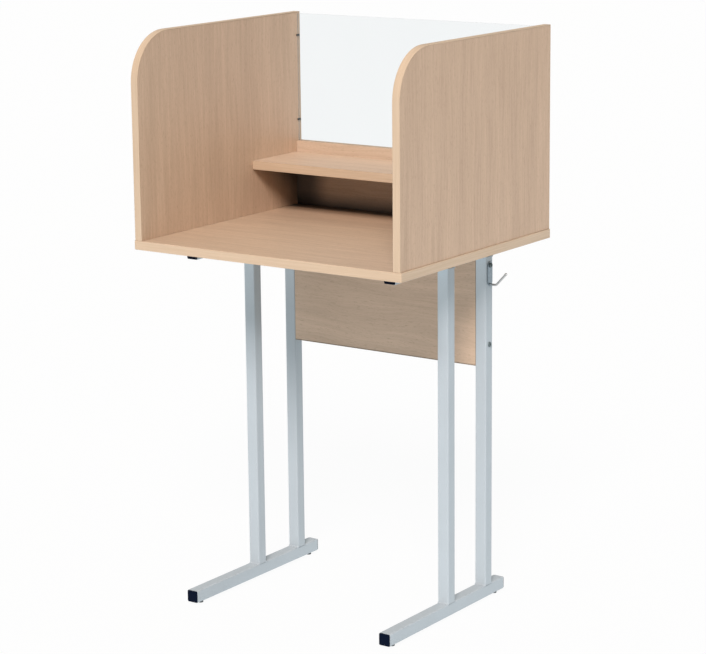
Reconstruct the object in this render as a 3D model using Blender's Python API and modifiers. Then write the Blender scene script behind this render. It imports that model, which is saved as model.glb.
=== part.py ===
"""Study carrel desk.

A laminated worktop carries two side panels with rounded front corners, a low rear board, a shelf and a
clear rear screen. It stands on two welded leg frames of square steel tube, each with two uprights, joined
by a modesty panel. A bag hook hangs on the right frame, and a levelling glide turns out under each end of
each foot rail.

Units are metres. +Z is up, the open front faces -Y and +X is to the sitter's right. The origin is on the
floor under the middle of the worktop.
"""

import math

import bmesh
import bpy
from mathutils import Matrix, Vector

# Driving dimensions -------------------------------------------------------------------------------------

GAP = 0.0003                    # clearance between pieces that touch
BOARD = 0.018                   # thickness of the worktop, shelf, rear board and modesty panel
PANEL_BOARD = 0.016             # thickness of the side panels
EDGING = 0.002                  # depth that an edging strip takes, its glue gap included
EDGING_ROUND = 0.0008           # rounding of the edging's outer arrises

WORKTOP_WIDTH = 0.630
WORKTOP_DEPTH = 0.540
WORKTOP_Z = 0.755               # height of the working surface
WORKTOP_CORNER = 0.003          # rounding of its vertical corners

PANEL_HEIGHT = 0.407            # side panels, above the worktop
PANEL_CORNER = 0.098            # radius of their top front corner
PANEL_SIDE_INSET = 0.0025
PANEL_FRONT_INSET = 0.001
PANEL_REAR_INSET = 0.001

SHELF_FRONT = 0.366             # distance from the worktop's front edge
SHELF_HEIGHT = 0.112            # top of the shelf above the worktop
REAR_BOARD_HEIGHT = 0.1355      # above the worktop

SCREEN_THICKNESS = 0.005
SCREEN_HEIGHT = 0.404           # top edge above the worktop
SCREEN_GROOVE_DEPTH = 0.008
SCREEN_SIDE_GAP = 0.0008
CLIP_HEIGHTS = (("lower", 0.180), ("upper", 0.358))     # above the worktop
CLIP_WALL = 0.0014
CLIP_REACH = 0.0026             # how far its two lips stand out of the side panel
CLIP_HEIGHT = 0.0042

TUBE = 0.025                    # outer width of the square steel tube
TUBE_WALL = 0.0015
TUBE_CORNER = 0.0025
TUBE_INNER_CORNER = 0.001
FRAME_X = 0.235                 # centre of each leg frame
FOOT_RAIL_Z = 0.0065            # underside of the foot rails
FOOT_RAIL_SPAN = (0.054, 0.477)     # front and rear ends with their caps, from the worktop's front edge
TOP_RAIL_SPAN = (0.080, 0.460)
UPRIGHT_CENTRES = (("front", 0.277), ("rear", 0.417))

CAP_FLANGE = 0.002
CAP_WIDTH = 0.0240
CAP_ROUND = 0.0006
CAP_PLUG_LENGTH = 0.011
CAP_PLUG_CLEARANCE = 0.0004

MODESTY_BOTTOM = 0.4885
MODESTY_FRONT = 0.4055          # its front face, from the worktop's front edge
MODESTY_TOP_GAP = 0.001
MODESTY_SCREWS = (("lower", 0.5335), ("upper", 0.6945))   # heights above the floor

SHANK_RADIUS = 0.0025           # of the pan head screws
SHANK_LENGTH = 0.045
HEAD_RADIUS = 0.005
HEAD_HEIGHT = 0.003
SOCKET_RADIUS = 0.0018          # hexagon socket, across its corners
SOCKET_DEPTH = 0.0018
RAIL_SCREW_PLACES = (("front", 0.150), ("rear", 0.345))
RAIL_SCREW_LENGTH = 0.039

PANEL_SCREW_PLACES = (("front", 0.110), ("rear", 0.430))
PANEL_SCREW_RADIUS = 0.0032
PANEL_SCREW_HEAD_RADIUS = 0.005
PANEL_SCREW_HEAD_HEIGHT = 0.004
PANEL_SCREW_RIM = 0.001         # straight part of the head, above its cone
PANEL_SCREW_LENGTH = 0.048

DOWEL_RADIUS = 0.004
DOWEL_LENGTH = 0.028
DOWEL_SETBACK = 0.040           # behind the shelf's front edge
DOWEL_IN_PANEL = 0.011

GLIDE_PLACES = (("front", 0.081), ("rear", 0.458))      # from the worktop's front edge
GLIDE_RADIUS = 0.0055
GLIDE_HEIGHT = 0.0048
GLIDE_ROUND = 0.0010
STEM_RADIUS = 0.003
STEM_CHAMFER = 0.0006
STEM_FOOT = 0.0025              # height of the stem's lower end inside the glide
STEM_TOP = 0.0275
NUT_RADIUS = 0.0045
NUT_FLANGE_RADIUS = 0.0056
NUT_FLANGE = 0.001
NUT_TOP = 0.0155

HOOK_WIDTH = 0.017
HOOK_BOTTOM = 0.6535
HOOK_TOP = 0.7015
HOOK_PLATE = 0.002
HOOK_WIRE_RADIUS = 0.0022
HOOK_ARM_Z = 0.6556
HOOK_REACH = 0.0126             # level stretch of the arm before it turns up
HOOK_BEND = 0.007               # radius of that turn
HOOK_ANGLE = math.radians(47)
HOOK_RISE = 0.0295              # length of the rising stretch
HOOK_TIP_RADIUS = 0.00275

SIDES = (("left", -1), ("right", 1))
ENDS = (("front", -1), ("rear", 1))

# Finishes: colour, roughness, metallic and alpha
FINISHES = {
    "beech": ((0.57, 0.41, 0.27), 0.45, 0.0, 1.0),
    "edging": ((0.76, 0.56, 0.38), 0.40, 0.0, 1.0),
    "painted_steel": ((0.58, 0.63, 0.67), 0.38, 0.0, 1.0),
    "black_plastic": ((0.012, 0.013, 0.016), 0.45, 0.0, 1.0),
    "zinc": ((0.62, 0.63, 0.65), 0.32, 1.0, 1.0),
    "clear": ((0.93, 0.96, 0.96), 0.05, 0.0, 0.2),
    "dowel_wood": ((0.62, 0.47, 0.30), 0.60, 0.0, 1.0),
}

MERGE = 1e-5
OVERRUN = 0.001                 # how far a cutter runs past the face that it opens
SQUARE = 0.0002                 # rounding of a corner that is all but square
ROUND_STEPS = 20                # sides of a turned piece
BALL_TURN = 0.2                 # turns the hook's ball, so that none of its faces lies in a face of the wire


# Tools --------------------------------------------------------------------------------------------------

def clear_scene():
    for item in list(bpy.data.objects):
        bpy.data.objects.remove(item, do_unlink=True)


def new_collection(name):
    collection = bpy.data.collections.new(name)
    bpy.context.scene.collection.children.link(collection)
    return collection


def finish(item, kind):
    """Gives a piece its own material."""
    colour, roughness, metallic, alpha = FINISHES[kind]
    material = bpy.data.materials.new(item.name)
    material.use_nodes = True
    shader = material.node_tree.nodes["Principled BSDF"]
    shader.inputs["Base Color"].default_value = (*colour, 1.0)
    shader.inputs["Roughness"].default_value = roughness
    shader.inputs["Metallic"].default_value = metallic
    shader.inputs["Alpha"].default_value = alpha
    item.data.materials.clear()
    item.data.materials.append(material)
    item.data.shade_smooth()
    item.data.set_sharp_from_angle(angle=math.radians(35))


def part(name, mesh, kind, place=Matrix()):
    item = bpy.data.objects.new(name, mesh)
    item.matrix_world = place
    parts.objects.link(item)
    finish(item, kind)
    return item


def guide(name, mesh, place=Matrix()):
    """A cutter, or a body that is joined to a piece."""
    item = bpy.data.objects.new(name, mesh)
    item.matrix_world = place
    item.hide_render = True
    item.display_type = "WIRE"
    cutters.objects.link(item)
    return item


def combine(target, other, operation):
    modifier = target.modifiers.new(operation.title() + " " + other.name, "BOOLEAN")
    modifier.operation = operation
    modifier.solver = "EXACT"
    modifier.object = other


def cut(target, cutter):
    combine(target, cutter, "DIFFERENCE")


def join(target, other):
    combine(target, other, "UNION")


def facing(axis, centre):
    """Places a local +Z on a world axis: X, Y or Z."""
    turned = {
        "X": Matrix(((0, 0, 1), (1, 0, 0), (0, 1, 0))),
        "Y": Matrix(((0, 1, 0), (0, 0, 1), (1, 0, 0))),
        "Z": Matrix.Identity(3),
    }[axis]
    return Matrix.Translation(centre) @ turned.to_4x4()


def from_front(distance):
    """World Y of a place measured back from the worktop's front edge."""
    return distance - WORKTOP_DEPTH / 2


def mesh_from(bm, name):
    mesh = bpy.data.meshes.new(name)
    bm.to_mesh(mesh)
    bm.free()
    return mesh


def box_mesh(name, low, high, bevel=0.0):
    low = Vector(low)
    high = Vector(high)
    bm = bmesh.new()
    bmesh.ops.create_cube(bm, size=1.0)
    bmesh.ops.scale(bm, vec=high - low, verts=bm.verts)
    bmesh.ops.translate(bm, vec=(low + high) / 2, verts=bm.verts)
    if bevel:
        bmesh.ops.bevel(bm, geom=bm.edges[:], offset=bevel, segments=2, profile=0.5, affect="EDGES")
    return mesh_from(bm, name)


def cylinder_mesh(name, radius, length, sides=ROUND_STEPS):
    """A cylinder on local Z, centred."""
    bm = bmesh.new()
    bmesh.ops.create_cone(bm, cap_ends=True, segments=sides, radius1=radius, radius2=radius, depth=length)
    return mesh_from(bm, name)


def curve_to_mesh(curve, weld=MERGE):
    """The welded mesh of a curve, with its caps closed."""
    raw = bpy.data.objects.new(curve.name, curve)
    bpy.context.scene.collection.objects.link(raw)
    graph = bpy.context.evaluated_depsgraph_get()
    mesh = bpy.data.meshes.new_from_object(raw.evaluated_get(graph))
    bpy.data.objects.remove(raw)
    bm = bmesh.new()
    bm.from_mesh(mesh)
    bmesh.ops.remove_doubles(bm, verts=bm.verts, dist=weld)
    bmesh.ops.recalc_face_normals(bm, faces=bm.faces)
    bm.to_mesh(mesh)
    bm.free()
    return mesh


def plate_mesh(name, loops, thickness):
    """A flat plate centred on its own plane: the first loop is its outline and the others are holes."""
    curve = bpy.data.curves.new(name, "CURVE")
    curve.dimensions = "2D"
    curve.fill_mode = "BOTH"
    curve.extrude = thickness / 2
    for loop in loops:
        spline = curve.splines.new("POLY")
        spline.points.add(len(loop) - 1)
        spline.use_cyclic_u = True
        for point, (u, v) in zip(spline.points, loop):
            point.co = (u, v, 0.0, 1.0)
    return curve_to_mesh(curve)


def round_outer_edges(mesh, outline, width, which=lambda height: True):
    """Rounds the edges that run along an outline on a plate's two faces."""
    on_outline = {(round(u, 5), round(v, 5)) for u, v in outline}
    bm = bmesh.new()
    bm.from_mesh(mesh)
    edges = []
    for edge in bm.edges:
        start, end = edge.verts[0].co, edge.verts[1].co
        level = abs(start.z - end.z) < MERGE
        outside = all((round(spot.x, 5), round(spot.y, 5)) in on_outline for spot in (start, end))
        border = len(edge.link_faces) == 2 and edge.calc_face_angle() > math.radians(60)
        if level and outside and border and which(start.z):
            edges.append(edge)
    bmesh.ops.bevel(bm, geom=edges, offset=width, segments=2, profile=0.5, affect="EDGES")
    bm.to_mesh(mesh)
    bm.free()


def arc(centre, radius, start, end, steps):
    """Points on an arc, its angles in degrees."""
    points = []
    for step in range(steps + 1):
        angle = math.radians(start + (end - start) * step / steps)
        points.append((centre[0] + radius * math.cos(angle), centre[1] + radius * math.sin(angle)))
    return points


def rounded_rectangle(width, height, radius, steps=4):
    points = []
    for corner, (across, up) in enumerate(((1, 1), (-1, 1), (-1, -1), (1, -1))):
        centre = (across * (width / 2 - radius), up * (height / 2 - radius))
        points += arc(centre, radius, 90 * corner, 90 * corner + 90, steps)
    return points


def turned_mesh(name, profile, closed=False):
    """The profile as edges in local XZ. It runs down the outer side, from top to bottom."""
    bm = bmesh.new()
    verts = [bm.verts.new((radius, 0.0, height)) for radius, height in profile]
    pairs = list(zip(verts, verts[1:]))
    if closed:
        pairs.append((verts[-1], verts[0]))
    for start, end in pairs:
        bm.edges.new((start, end))
    return mesh_from(bm, name)


def turn(item):
    """Turns an item's profile about its local Z."""
    screw = item.modifiers.new("Turn", "SCREW")
    screw.axis = "Z"
    screw.steps = ROUND_STEPS
    screw.render_steps = ROUND_STEPS
    screw.use_merge_vertices = True
    screw.merge_threshold = MERGE
    screw.use_smooth_shade = True
    return item


# Boards -------------------------------------------------------------------------------------------------

def make_worktop():
    core = box_mesh(
        "worktop",
        (-WORKTOP_WIDTH / 2 + EDGING, -WORKTOP_DEPTH / 2 + EDGING, WORKTOP_Z - BOARD),
        (WORKTOP_WIDTH / 2 - EDGING, WORKTOP_DEPTH / 2 - EDGING, WORKTOP_Z),
    )
    outline = rounded_rectangle(WORKTOP_WIDTH, WORKTOP_DEPTH, WORKTOP_CORNER)
    inside = EDGING - GAP
    opening = rounded_rectangle(WORKTOP_WIDTH - 2 * inside, WORKTOP_DEPTH - 2 * inside, SQUARE, 1)
    band = plate_mesh("worktop_edging", [outline, opening], BOARD)
    round_outer_edges(band, outline, EDGING_ROUND)
    part("worktop_edging", band, "edging", facing("Z", (0, 0, WORKTOP_Z - BOARD / 2)))
    return part("worktop", core, "beech")


def panel_path(inset):
    """The panel's front, top and rear edges moved in by an inset, from the front foot to the rear foot."""
    front = from_front(PANEL_FRONT_INSET) + inset
    rear = from_front(WORKTOP_DEPTH - PANEL_REAR_INSET) - inset
    bottom = WORKTOP_Z + GAP
    top = WORKTOP_Z + PANEL_HEIGHT - inset
    radius = PANEL_CORNER - inset
    corner = arc((front + radius, top - radius), radius, 180, 90, 14)
    return [(front, bottom)] + corner + [(rear, top), (rear, bottom)]


def panel_x():
    """Distance of each side panel's middle from the desk's middle."""
    return WORKTOP_WIDTH / 2 - PANEL_SIDE_INSET - PANEL_BOARD / 2


def make_side_panels():
    """The two side panels, each with one edging strip over its front, top and rear edges."""
    panels = {}
    for side, sign in SIDES:
        centre = (sign * panel_x(), 0, 0)
        core = plate_mesh(side + "_side_panel", [panel_path(EDGING)], PANEL_BOARD)
        panels[side] = part(side + "_side_panel", core, "beech", facing("X", centre))
        outside = panel_path(0.0)
        inside = panel_path(EDGING - GAP)
        band = plate_mesh(side + "_panel_edging", [outside + inside[::-1]], PANEL_BOARD)
        round_outer_edges(band, outside, EDGING_ROUND)
        part(side + "_panel_edging", band, "edging", facing("X", centre))
    return panels


def inner_half_width():
    """Half of the space between the side panels."""
    return WORKTOP_WIDTH / 2 - PANEL_SIDE_INSET - PANEL_BOARD


def rear_board_front():
    return WORKTOP_DEPTH - PANEL_REAR_INSET - BOARD


def screen_y():
    """The clear screen stands in the middle of the rear board's thickness."""
    return from_front(rear_board_front() + BOARD / 2)


def make_rear_board():
    half = inner_half_width() - GAP
    low = (-half, from_front(rear_board_front()), WORKTOP_Z + GAP)
    high = (half, from_front(rear_board_front() + BOARD), WORKTOP_Z + REAR_BOARD_HEIGHT)
    board = part("rear_board", box_mesh("rear_board", low, high), "beech")
    width = SCREEN_THICKNESS + 2 * GAP
    groove = box_mesh(
        "screen_groove",
        (-WORKTOP_WIDTH, screen_y() - width / 2, high[2] - SCREEN_GROOVE_DEPTH),
        (WORKTOP_WIDTH, screen_y() + width / 2, high[2] + BOARD),
    )
    cut(board, guide("screen_groove", groove))


def make_shelf():
    half = inner_half_width() - GAP
    top = WORKTOP_Z + SHELF_HEIGHT
    front = from_front(SHELF_FRONT)
    low = (-half, front + EDGING, top - BOARD)
    high = (half, from_front(rear_board_front()) - GAP, top)
    shelf = part("shelf", box_mesh("shelf", low, high), "beech")
    strip_half = EDGING / 2 - GAP / 2
    outline = rounded_rectangle(2 * strip_half, BOARD, SQUARE, 1)
    strip = plate_mesh("shelf_edging", [outline], 2 * half)
    place = facing("X", (0, front + strip_half, top - BOARD / 2))
    part("shelf_edging", strip, "edging", place)
    return shelf


def make_screen(panels):
    half = inner_half_width() - SCREEN_SIDE_GAP
    bottom = WORKTOP_Z + REAR_BOARD_HEIGHT - SCREEN_GROOVE_DEPTH + GAP
    low = (-half, screen_y() - SCREEN_THICKNESS / 2, bottom)
    high = (half, screen_y() + SCREEN_THICKNESS / 2, WORKTOP_Z + SCREEN_HEIGHT)
    part("clear_screen", box_mesh("clear_screen", low, high, 0.0004), "clear")
    make_screen_clips(panels)


def make_screen_clips(panels):
    """Channel clips let into the side panels. Their lips hold the screen's upright edges front and rear."""
    face = inner_half_width()
    floor = face + GAP
    back = floor + CLIP_WALL
    lip = face - CLIP_REACH
    slot = SCREEN_THICKNESS / 2 + GAP
    outside = slot + CLIP_WALL
    right_shape = [
        (back, -outside),
        (back, outside),
        (lip, outside),
        (lip, slot),
        (floor, slot),
        (floor, -slot),
        (lip, -slot),
        (lip, -outside),
    ]
    recess_half = Vector(((back + GAP - face + OVERRUN) / 2, outside + GAP, CLIP_HEIGHT / 2 + GAP))
    recess_x = back + GAP - recess_half.x
    for side, sign in SIDES:
        outline = [(sign * x, y) for x, y in right_shape]
        for level, distance in CLIP_HEIGHTS:
            name = side + "_" + level + "_screen_clip"
            z = WORKTOP_Z + distance
            clip = plate_mesh(name, [outline], CLIP_HEIGHT)
            part(name, clip, "black_plastic", facing("Z", (0, screen_y(), z)))
            recess = box_mesh(name + "_recess", -recess_half, recess_half)
            place = Matrix.Translation((sign * recess_x, screen_y(), z))
            cut(panels[side], guide(name + "_recess", recess, place))


def make_modesty_panel():
    half = FRAME_X - TUBE / 2 - GAP
    front = from_front(MODESTY_FRONT)
    top = WORKTOP_Z - BOARD - MODESTY_TOP_GAP
    low = (-half, front, MODESTY_BOTTOM + EDGING)
    high = (half, front + BOARD, top)
    panel = part("modesty_panel", box_mesh("modesty_panel", low, high), "beech")
    strip_half = EDGING / 2 - GAP / 2
    outline = rounded_rectangle(BOARD, 2 * strip_half, SQUARE, 1)
    strip = plate_mesh("modesty_edging", [outline], 2 * half)
    place = facing("X", (0, front + BOARD / 2, MODESTY_BOTTOM + strip_half))
    part("modesty_edging", strip, "edging", place)
    return panel


# Leg frames ---------------------------------------------------------------------------------------------

def tube(name, axis, centre, length):
    """An open length of square tube, its corners rounded inside and out."""
    inner = TUBE - 2 * TUBE_WALL
    loops = [
        rounded_rectangle(TUBE, TUBE, TUBE_CORNER),
        rounded_rectangle(inner, inner, TUBE_INNER_CORNER, 2),
    ]
    mesh = plate_mesh(name, loops, length)
    return part(name, mesh, "painted_steel", facing(axis, centre))


def rail(name, sign, span, height):
    """A level tube from front to rear, short of its span by the two cap flanges."""
    front = span[0] + CAP_FLANGE + GAP
    rear = span[1] - CAP_FLANGE - GAP
    return tube(name, "Y", (sign * FRAME_X, from_front((front + rear) / 2), height), rear - front)


def end_cap(name, x, y, z, direction):
    """A push-in cap: a flange over the tube's end and a plug inside it. It faces -Y or +Y."""
    flange_shape = rounded_rectangle(CAP_WIDTH, CAP_WIDTH, TUBE_CORNER)
    flange = plate_mesh(name, [flange_shape], CAP_FLANGE)
    round_outer_edges(flange, flange_shape, CAP_ROUND, lambda height: height * direction > 0)
    cap = part(name, flange, "black_plastic", facing("Y", (x, y - direction * CAP_FLANGE / 2, z)))
    width = TUBE - 2 * TUBE_WALL - 2 * CAP_PLUG_CLEARANCE
    length = CAP_PLUG_LENGTH + CAP_FLANGE / 2
    outline = rounded_rectangle(width, width, TUBE_INNER_CORNER, 2)
    plug = plate_mesh(name + "_plug", [outline], length)
    # The plug starts in the middle of the flange's thickness.
    join(cap, guide(name + "_plug", plug, facing("Y", (x, y - direction * (CAP_FLANGE + length) / 2, z))))


def make_leg_frames():
    """Both frames. The tubes are returned by name, because screws and glides go through them."""
    tubes = {}
    foot_z = FOOT_RAIL_Z + TUBE / 2
    top_z = WORKTOP_Z - BOARD - GAP - TUBE / 2
    upright_low = FOOT_RAIL_Z + TUBE + GAP
    upright_high = top_z - TUBE / 2 - GAP
    for side, sign in SIDES:
        for kind, span, height in (("foot_rail", FOOT_RAIL_SPAN, foot_z), ("top_rail", TOP_RAIL_SPAN, top_z)):
            name = side + "_" + kind
            tubes[name] = rail(name, sign, span, height)
            for (end, direction), place in zip(ENDS, span):
                cap_name = name + "_" + end + "_cap"
                end_cap(cap_name, sign * FRAME_X, from_front(place), height, direction)
        for end, distance in UPRIGHT_CENTRES:
            name = side + "_" + end + "_upright"
            centre = (sign * FRAME_X, from_front(distance), (upright_low + upright_high) / 2)
            tubes[name] = tube(name, "Z", centre, upright_high - upright_low)
    return tubes


# Levelling glides ---------------------------------------------------------------------------------------

def make_glides(tubes):
    """A plastic foot moulded on a threaded stem, which turns in a nut set in the foot rail's lower wall."""
    bore = STEM_RADIUS + GAP
    nut_base = FOOT_RAIL_Z - GAP - NUT_FLANGE
    nut_shape = [
        (bore, NUT_TOP),
        (NUT_RADIUS, NUT_TOP),
        (NUT_RADIUS, nut_base + NUT_FLANGE),
        (NUT_FLANGE_RADIUS, nut_base + NUT_FLANGE),
        (NUT_FLANGE_RADIUS, nut_base),
        (bore, nut_base),
    ]
    stem_shape = [
        (0.0, STEM_TOP),
        (STEM_RADIUS - STEM_CHAMFER, STEM_TOP),
        (STEM_RADIUS, STEM_TOP - STEM_CHAMFER),
        (STEM_RADIUS, STEM_FOOT),
        (0.0, STEM_FOOT),
    ]
    rim = GLIDE_RADIUS - GLIDE_ROUND
    foot_shape = [(0.0, STEM_FOOT - GAP), (bore, STEM_FOOT - GAP), (bore, GLIDE_HEIGHT)]
    foot_shape += arc((rim, GLIDE_HEIGHT - GLIDE_ROUND), GLIDE_ROUND, 90, 0, 3)
    foot_shape += arc((rim, GLIDE_ROUND), GLIDE_ROUND, 0, -90, 3)
    foot_shape.append((0.0, 0.0))
    for side, sign in SIDES:
        for end, distance in GLIDE_PLACES:
            x, y = sign * FRAME_X, from_front(distance)
            name = side + "_" + end + "_glide"
            hole = cylinder_mesh(name + "_hole", NUT_RADIUS + GAP, TUBE_WALL + 2 * OVERRUN)
            place = facing("Z", (x, y, FOOT_RAIL_Z + TUBE_WALL / 2))
            cut(tubes[side + "_foot_rail"], guide(name + "_hole", hole, place))
            place = facing("Z", (x, y, 0))
            turn(part(name + "_nut", turned_mesh(name + "_nut", nut_shape, closed=True), "zinc", place))
            turn(part(name + "_stem", turned_mesh(name + "_stem", stem_shape), "zinc", place))
            turn(part(name + "_foot", turned_mesh(name + "_foot", foot_shape), "black_plastic", place))


# Bag hook -----------------------------------------------------------------------------------------------

def make_bag_hook():
    """A pressed plate with an eye for its screw and a welded wire arm that turns up and out."""
    face = FRAME_X + TUBE / 2 + GAP
    y = from_front(UPRIGHT_CENTRES[1][1])
    radius = HOOK_WIDTH / 2
    height = HOOK_TOP - HOOK_BOTTOM
    outline = arc((0, height / 2 - radius), radius, 0, 180, 10)
    outline += arc((0, radius - height / 2), radius, 180, 360, 10)
    middle = (face + HOOK_PLATE / 2, y, (HOOK_TOP + HOOK_BOTTOM) / 2)
    plate = plate_mesh("bag_hook", [outline], HOOK_PLATE)
    hook = part("bag_hook", plate, "zinc", facing("X", middle))

    route = [(face + HOOK_PLATE / 2, HOOK_ARM_Z), (face + HOOK_REACH, HOOK_ARM_Z)]
    bend = (face + HOOK_REACH, HOOK_ARM_Z + HOOK_BEND)
    route += arc(bend, HOOK_BEND, -90, math.degrees(HOOK_ANGLE) - 90, 5)[1:]
    rise = Vector((math.cos(HOOK_ANGLE), math.sin(HOOK_ANGLE)))
    tip = Vector(route[-1]) + HOOK_RISE * rise
    route.append(tuple(tip))
    wire = bpy.data.curves.new("hook_arm", "CURVE")
    wire.dimensions = "3D"
    wire.bevel_depth = HOOK_WIRE_RADIUS
    wire.bevel_resolution = 3
    wire.use_fill_caps = True
    spline = wire.splines.new("POLY")
    spline.points.add(len(route) - 1)
    for point, (x, z) in zip(spline.points, route):
        point.co = (x, y, z, 1.0)
    join(hook, guide("hook_arm", curve_to_mesh(wire)))

    ball = bmesh.new()
    bmesh.ops.create_uvsphere(ball, u_segments=12, v_segments=8, radius=HOOK_TIP_RADIUS)
    place = Matrix.Translation((tip.x, y, tip.y)) @ Matrix.Rotation(BALL_TURN, 4, "Y")
    join(hook, guide("hook_tip", mesh_from(ball, "hook_tip"), place))
    return hook


# Fasteners ----------------------------------------------------------------------------------------------

def pan_screw(name, place, length):
    """A domed screw with a hexagon socket. Its head stands up from local Z 0, and its shank runs down."""
    dome = [math.radians(angle) for angle in (60, 35, 10)]
    profile = [(0.0, HEAD_HEIGHT), (SOCKET_RADIUS + GAP, HEAD_HEIGHT)]
    profile += [(HEAD_RADIUS * math.cos(angle), HEAD_HEIGHT * math.sin(angle)) for angle in dome]
    profile += [
        (HEAD_RADIUS, 0.0),
        (SHANK_RADIUS, 0.0),
        (SHANK_RADIUS, -length + SHANK_RADIUS),
        (0.0, -length),
    ]
    screw = turn(part(name, turned_mesh(name, profile), "zinc", place))
    socket = cylinder_mesh(name + "_socket", SOCKET_RADIUS, 2 * SOCKET_DEPTH, 6)
    cut(screw, guide(name + "_socket", socket, place @ Matrix.Translation((0, 0, HEAD_HEIGHT))))


def shank_hole(name, place, length, targets):
    """Clears the way for a shank that runs down from local Z 0."""
    hole = cylinder_mesh(name, SHANK_RADIUS + GAP, length + GAP + OVERRUN)
    middle = place @ Matrix.Translation((0, 0, (OVERRUN - length - GAP) / 2))
    cutter = guide(name, hole, middle)
    for target in targets:
        cut(target, cutter)


def make_modesty_screws(tubes, modesty, hook):
    """Screws through the rear uprights into the modesty panel's ends. One of them also holds the hook."""
    y = from_front(UPRIGHT_CENTRES[1][1])
    for side, sign in SIDES:
        for level, z in MODESTY_SCREWS:
            on_hook = side == "right" and level == "upper"
            stand = (HOOK_PLATE + GAP) if on_hook else 0.0
            name = "hook_screw" if on_hook else side + "_" + level + "_modesty_screw"
            x = sign * (FRAME_X + TUBE / 2 + GAP + stand)
            place = Matrix.Translation((x, y, z)) @ Matrix.Rotation(sign * math.pi / 2, 4, "Y")
            length = SHANK_LENGTH + stand
            pan_screw(name, place, length)
            targets = [tubes[side + "_rear_upright"], modesty]
            if on_hook:
                targets.append(hook)
            shank_hole(name + "_hole", place, length, targets)


def make_rail_screws(tubes, worktop):
    """Screws up through the top rails into the underside of the worktop."""
    z = WORKTOP_Z - BOARD - 2 * GAP - TUBE
    for side, sign in SIDES:
        for end, distance in RAIL_SCREW_PLACES:
            name = side + "_" + end + "_rail_screw"
            spot = Matrix.Translation((sign * FRAME_X, from_front(distance), z))
            place = spot @ Matrix.Rotation(math.pi, 4, "X")
            pan_screw(name, place, RAIL_SCREW_LENGTH)
            shank_hole(name + "_hole", place, RAIL_SCREW_LENGTH, [tubes[side + "_top_rail"], worktop])


def panel_screw_shape(top, grow):
    """The profile of a countersunk screw, or of its hole when it is grown by the clearance."""
    head = PANEL_SCREW_HEAD_RADIUS + grow
    shank = PANEL_SCREW_RADIUS + grow
    return [
        (0.0, top),
        (head, top),
        (head, -PANEL_SCREW_RIM),
        (shank, -PANEL_SCREW_HEAD_HEIGHT),
        (shank, -PANEL_SCREW_LENGTH + PANEL_SCREW_RADIUS),
        (0.0, -PANEL_SCREW_LENGTH - grow),
    ]


def make_panel_screws(worktop, panels):
    """Countersunk screws up through the worktop into the side panels' lower edges."""
    z = WORKTOP_Z - BOARD
    for side, sign in SIDES:
        for end, distance in PANEL_SCREW_PLACES:
            name = side + "_" + end + "_panel_screw"
            upright = Matrix.Translation((sign * panel_x(), from_front(distance), z))
            place = upright @ Matrix.Rotation(math.pi, 4, "X")
            screw = turn(part(name, turned_mesh(name, panel_screw_shape(-GAP, 0.0)), "zinc", place))
            socket = cylinder_mesh(name + "_socket", SOCKET_RADIUS, 2 * SOCKET_DEPTH, 6)
            cut(screw, guide(name + "_socket", socket, place))
            hole_mesh = turned_mesh(name + "_hole", panel_screw_shape(OVERRUN, GAP))
            hole = turn(guide(name + "_hole", hole_mesh, place))
            cut(worktop, hole)
            cut(panels[side], hole)


def make_shelf_dowels(shelf, panels):
    """A wooden dowel in each end of the shelf, near its front edge."""
    y = from_front(SHELF_FRONT + DOWEL_SETBACK)
    z = WORKTOP_Z + SHELF_HEIGHT - BOARD / 2
    for side, sign in SIDES:
        outer = inner_half_width() + DOWEL_IN_PANEL
        centre = (sign * (outer - DOWEL_LENGTH / 2), y, z)
        name = side + "_shelf_dowel"
        part(name, cylinder_mesh(name, DOWEL_RADIUS, DOWEL_LENGTH), "dowel_wood", facing("X", centre))
        hole = cylinder_mesh(name + "_hole", DOWEL_RADIUS + GAP, DOWEL_LENGTH + 2 * GAP)
        cutter = guide(name + "_hole", hole, facing("X", centre))
        cut(shelf, cutter)
        cut(panels[side], cutter)


# Assembly -----------------------------------------------------------------------------------------------

clear_scene()
parts = new_collection("study_carrel_desk")
cutters = new_collection("cutters")

worktop_board = make_worktop()
side_panels = make_side_panels()
make_rear_board()
shelf_board = make_shelf()
make_screen(side_panels)
modesty_board = make_modesty_panel()
frame_tubes = make_leg_frames()
make_glides(frame_tubes)
bag_hook = make_bag_hook()
make_modesty_screws(frame_tubes, modesty_board, bag_hook)
make_rail_screws(frame_tubes, worktop_board)
make_panel_screws(worktop_board, side_panels)
make_shelf_dowels(shelf_board, side_panels)
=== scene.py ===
"""Looks of the study carrel desk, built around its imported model. Metres, +Z up, the open front faces -Y."""

import math

import bmesh
import bpy
from mathutils import Matrix, Vector


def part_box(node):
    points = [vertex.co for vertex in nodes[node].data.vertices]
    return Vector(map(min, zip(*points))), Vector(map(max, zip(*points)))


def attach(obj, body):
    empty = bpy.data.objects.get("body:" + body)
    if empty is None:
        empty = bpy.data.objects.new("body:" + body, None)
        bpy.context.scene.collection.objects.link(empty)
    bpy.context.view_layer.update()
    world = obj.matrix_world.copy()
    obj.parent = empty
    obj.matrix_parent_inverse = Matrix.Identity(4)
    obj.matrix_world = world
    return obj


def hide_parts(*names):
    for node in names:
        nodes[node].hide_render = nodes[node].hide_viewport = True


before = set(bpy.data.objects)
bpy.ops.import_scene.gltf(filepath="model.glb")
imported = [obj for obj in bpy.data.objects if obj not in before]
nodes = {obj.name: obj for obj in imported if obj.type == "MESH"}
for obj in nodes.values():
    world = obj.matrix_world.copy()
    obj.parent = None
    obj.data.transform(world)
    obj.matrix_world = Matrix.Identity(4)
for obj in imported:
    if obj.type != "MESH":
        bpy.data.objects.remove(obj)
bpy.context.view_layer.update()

# Colours, linear -----------------------------------------------------------------------------------------

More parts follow.
